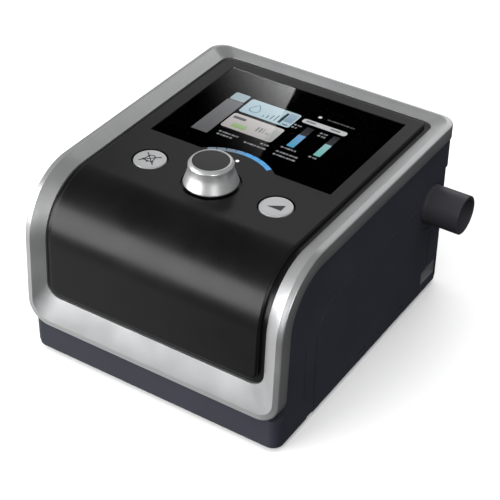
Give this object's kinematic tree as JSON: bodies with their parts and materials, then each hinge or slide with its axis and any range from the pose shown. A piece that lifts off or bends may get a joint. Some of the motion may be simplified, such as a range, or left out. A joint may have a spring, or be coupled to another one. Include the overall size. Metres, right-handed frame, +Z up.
{
  "type": "mechanical ventilator",
  "caption": "Compact bedside ventilator: dark case, silver wrap-round bezel, black display panel with turn-and-push knob and buttons, 22 mm air outlet on the right.",
  "frame": {"origin": "centre of the bounding box at table level, under the feet", "axes": "+Z up, front face towards -Y, air outlet towards +X"},
  "size_m": [0.1746, 0.18, 0.1169],
  "materials": {
    "case_plastic": "fine-textured dark slate plastic",
    "silver_paint": "satin silver paint",
    "black_panel": "semi-gloss black",
    "dark_glass": "polished, deep black",
    "display": "colour display under glass",
    "light_guide": "translucent, lit blue",
    "knob_metal": "satin turned",
    "pale_plastic": "moulded",
    "contact_brass": "plated",
    "outlet_plastic": "smooth moulded",
    "rubber": "matte",
    "steel": "plated",
    "inner_plastic": "moulded",
    "circuit_board": "solder mask",
    "aluminium_can": "drawn",
    "ribbon": "film",
    "silicone": "translucent silicone",
    "foam": "open-cell foam",
    "copper": "enamelled copper wire"
  },
  "bodies": {
    "case": {"acoustic_foam": "foam", "air_outlet": "outlet_plastic", "alarm_buzzer": "inner_plastic", "bezel_frame": "silver_paint", "blower_mounts": "rubber", "board_screws": "steel", "bottom_pan": "case_plastic", "bulk_capacitors": "aluminium_can", "button_switches": "inner_plastic", "card_socket": "pale_plastic", "case_screws": "steel", "chassis_screws": "steel", "coin_cell": "steel", "coin_cell_holder": "pale_plastic", "dc_inlet_jack": "inner_plastic", "dial_light_guide": "light_guide", "display_backlight": "steel", "display_glass": "display", "display_ribbon": "ribbon", "display_window": "dark_glass", "dock_connector": "pale_plastic", "dock_contacts": "contact_brass", "dock_plate": "case_plastic", "encoder_body": "inner_plastic", "flow_sensor": "inner_plastic", "front_panel": "black_panel", "index_light_pipe": "light_guide", "inlet_duct": "inner_plastic", "inlet_filter": "foam", "interface_board": "circuit_board", "keypad_mat": "rubber", "main_board": "circuit_board", "main_housing": "case_plastic", "motor_bearings": "steel", "motor_housing": "inner_plastic", "outlet_bellows": "rubber", "outlet_gasket": "rubber", "panel_chassis": "inner_plastic", "power_board": "circuit_board", "pressure_sensor": "inner_plastic", "pressure_tube": "silicone", "processor_shield": "steel", "rubber_feet": "rubber", "sound_box": "inner_plastic", "sound_box_lid": "inner_plastic", "stator_core": "steel", "stator_windings": "copper", "volute_lower": "inner_plastic", "volute_upper": "inner_plastic"},
    "encoder_rotor": {"encoder_rotor": "inner_plastic"},
    "knob": {"control_knob": "knob_metal", "knob_cap": "black_panel", "encoder_shaft": "steel"},
    "mute_button": {"mute_button": "silver_paint"},
    "ramp_button": {"ramp_button": "silver_paint"},
    "memory_card": {"memory_card": "inner_plastic"},
    "filter_cover": {"filter_cover": "case_plastic"},
    "blower_rotor": {"impeller": "inner_plastic", "motor_shaft": "steel", "rotor_magnet": "steel"}
  },
  "joints": [
    {"name": "knob_turn", "type": "hinge", "parent": "case", "child": "encoder_rotor", "pos_m": [-0.00975, -0.0313, 0.0925], "axis": [0, 0, 1], "continuous": true},
    {"name": "knob_push", "type": "slide", "parent": "encoder_rotor", "child": "knob", "axis": [0, 0, -1], "range_m": [0, 0.0005], "stiffness_N_per_m": 2500, "springref_m": -0.001},
    {"name": "mute_push", "type": "slide", "parent": "case", "child": "mute_button", "axis": [0, 0, -1], "range_m": [0, 0.0008], "stiffness_N_per_m": 1500, "springref_m": -0.0008},
    {"name": "ramp_push", "type": "slide", "parent": "case", "child": "ramp_button", "axis": [0, 0, -1], "range_m": [0, 0.0008], "stiffness_N_per_m": 1500, "springref_m": -0.0008},
    {"name": "card_slide", "type": "slide", "parent": "case", "child": "memory_card", "axis": [-1, 0, 0], "range_m": [-0.001, 0.03]},
    {"name": "filter_cover_hinge", "type": "hinge", "parent": "case", "child": "filter_cover", "pos_m": [-0.08495, 0.04, 0.0226], "axis": [0, -1, 0], "range_deg": [0, 85]},
    {"name": "blower_spin", "type": "hinge", "parent": "case", "child": "blower_rotor", "pos_m": [-0.02175, 0.042, 0.0625], "axis": [0, 0, 1], "continuous": true}
  ]
}
